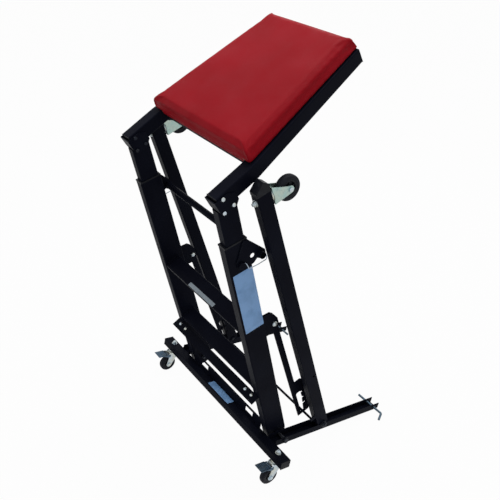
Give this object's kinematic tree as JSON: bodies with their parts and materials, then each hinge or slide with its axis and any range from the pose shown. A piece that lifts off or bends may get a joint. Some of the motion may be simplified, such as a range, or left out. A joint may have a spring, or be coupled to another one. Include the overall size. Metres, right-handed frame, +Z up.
{
  "type": "topside creeper",
  "caption": "Folding topside creeper: a leaning ladder on a caster base with telescoping uprights, fold-down legs and a padded chest deck.",
  "frame": {"origin": "on the floor, under the middle of the stand as it stands folded", "axes": "+Z up, +Y forwards along the base channels, +X to the stand's right, across the stand"},
  "size_m": [0.91, 0.8432, 1.6456],
  "materials": {
    "black_steel": "satin black powder coat",
    "zinc": "bright zinc plate",
    "rubber": "black rubber tread",
    "black_plastic": "black moulded plastic",
    "red_vinyl": "red vinyl-coated fabric over foam",
    "plywood": "plain plywood"
  },
  "bodies": {
    "base": {"caster_bar": "black_steel", "caster_bar_plugs": "black_plastic", "foot_plate": "black_steel", "channel_left": "black_steel", "channel_right": "black_steel", "foot_bolts": "zinc", "foot_spacers": "black_steel", "leg_pivot_bolts": "zinc", "pivot_nuts": "zinc", "rear_caster_stems": "zinc", "rear_caster_nuts": "zinc"},
    "legs": {"leg_left": "black_steel", "leg_right": "black_steel", "leg_caps": "black_plastic", "hook_rod": "black_steel", "leg_caster_stems": "zinc", "leg_caster_nuts": "zinc"},
    "ladder": {"outer_upright_left": "black_steel", "outer_upright_right": "black_steel", "tread_upper": "black_steel", "tread_lower": "black_steel", "kick_plate": "black_steel", "kick_plate_bolts": "zinc", "strut_brackets": "black_steel", "strut_bolts": "zinc", "guide_collars": "black_plastic", "release_pivots": "black_steel"},
    "release": {"release_bar": "black_steel", "release_plates": "black_steel", "release_springs": "zinc"},
    "deck": {"inner_upright_left": "black_steel", "inner_upright_right": "black_steel", "head_brackets": "black_steel", "head_bolts": "zinc", "deck_rail_left": "black_steel", "deck_rail_right": "black_steel", "rail_caps": "black_plastic", "deck_cross_members": "black_steel", "deck_board": "plywood", "cushion": "red_vinyl"},
    "strut_left": {"strut_left": "black_steel"},
    "rear_swivel_left": {"rear_fork_left": "zinc", "rear_axle_left": "zinc"},
    "rear_wheel_left": {"rear_wheel_left": "rubber"},
    "brake_left": {"brake_pedal_left": "zinc"},
    "leg_swivel_left": {"leg_fork_left": "zinc", "leg_axle_left": "zinc"},
    "leg_wheel_left": {"leg_tyre_left": "rubber", "leg_hub_left": "black_plastic"},
    "lock_pin_left": {"lock_pin_left": "zinc"},
    "strut_right": {"strut_right": "black_steel"},
    "rear_swivel_right": {"rear_fork_right": "zinc", "rear_axle_right": "zinc"},
    "rear_wheel_right": {"rear_wheel_right": "rubber"},
    "brake_right": {"brake_pedal_right": "zinc"},
    "leg_swivel_right": {"leg_fork_right": "zinc", "leg_axle_right": "zinc"},
    "leg_wheel_right": {"leg_tyre_right": "rubber", "leg_hub_right": "black_plastic"},
    "lock_pin_right": {"lock_pin_right": "zinc"}
  },
  "joints": [
    {"name": "leg_fold", "type": "hinge", "parent": "base", "child": "legs", "pos_m": [0, 0.08611, 0.09343], "axis": [-1, 0, 0], "range_deg": [0, 118.3]},
    {"name": "ladder_tilt", "type": "hinge", "parent": "base", "child": "ladder", "pos_m": [0, -0.11929, 0.12195], "axis": [-1, 0, 0], "range_deg": [0, 40.9]},
    {"name": "deck_lift", "type": "slide", "parent": "ladder", "child": "deck", "axis": [0, -0.2197, 0.9756], "range_m": [0, 0.4]},
    {"name": "release_lift", "type": "hinge", "parent": "ladder", "child": "release", "pos_m": [0, -0.3163, 1.00114], "axis": [1, 0, 0], "range_deg": [0, 25]},
    {"name": "strut_left_swing", "type": "hinge", "parent": "ladder", "child": "strut_left", "pos_m": [0, -0.15242, 0.68134], "axis": [1, 0, 0], "range_deg": [0, 15.44]},
    {"name": "rear_swivel_left", "type": "hinge", "parent": "base", "child": "rear_swivel_left", "pos_m": [-0.402, -0.19793, 0.10096], "axis": [0, 0.196, 0.9806], "continuous": true},
    {"name": "rear_roll_left", "type": "hinge", "parent": "rear_swivel_left", "child": "rear_wheel_left", "pos_m": [-0.402, -0.23499, 0.038], "axis": [1, 0, 0], "continuous": true},
    {"name": "brake_left_press", "type": "hinge", "parent": "rear_swivel_left", "child": "brake_left", "pos_m": [-0.402, -0.23133, 0.08693], "axis": [1, 0, 0], "range_deg": [0, 14]},
    {"name": "leg_swivel_left", "type": "hinge", "parent": "legs", "child": "leg_swivel_left", "pos_m": [-0.334, -0.23888, 1.24576], "axis": [0, 0.9563, 0.2923], "continuous": true},
    {"name": "leg_roll_left", "type": "hinge", "parent": "leg_swivel_left", "child": "leg_wheel_left", "pos_m": [-0.334, -0.16737, 1.25297], "axis": [1, 0, 0], "continuous": true},
    {"name": "lock_pin_left_pull", "type": "slide", "parent": "base", "child": "lock_pin_left", "axis": [-1, 0, 0], "range_m": [0, 0.095]},
    {"name": "strut_right_swing", "type": "hinge", "parent": "ladder", "child": "strut_right", "pos_m": [0, -0.15242, 0.68134], "axis": [1, 0, 0], "range_deg": [0, 15.44]},
    {"name": "rear_swivel_right", "type": "hinge", "parent": "base", "child": "rear_swivel_right", "pos_m": [0.402, -0.19793, 0.10096], "axis": [0, 0.196, 0.9806], "continuous": true},
    {"name": "rear_roll_right", "type": "hinge", "parent": "rear_swivel_right", "child": "rear_wheel_right", "pos_m": [0.402, -0.23499, 0.038], "axis": [1, 0, 0], "continuous": true},
    {"name": "brake_right_press", "type": "hinge", "parent": "rear_swivel_right", "child": "brake_right", "pos_m": [0.402, -0.23133, 0.08693], "axis": [1, 0, 0], "range_deg": [0, 14]},
    {"name": "leg_swivel_right", "type": "hinge", "parent": "legs", "child": "leg_swivel_right", "pos_m": [0.334, -0.23888, 1.24576], "axis": [0, 0.9563, 0.2923], "continuous": true},
    {"name": "leg_roll_right", "type": "hinge", "parent": "leg_swivel_right", "child": "leg_wheel_right", "pos_m": [0.334, -0.16737, 1.25297], "axis": [1, 0, 0], "continuous": true},
    {"name": "lock_pin_right_pull", "type": "slide", "parent": "base", "child": "lock_pin_right", "axis": [1, 0, 0], "range_m": [0, 0.095]}
  ],
  "couplings": [
    {"joint": "ladder_tilt", "follows": "leg_fold", "ratio": 0.34573},
    {"joint": "strut_left_swing", "follows": "leg_fold", "ratio": 0.1305},
    {"joint": "strut_right_swing", "follows": "leg_fold", "ratio": 0.1305}
  ]
}
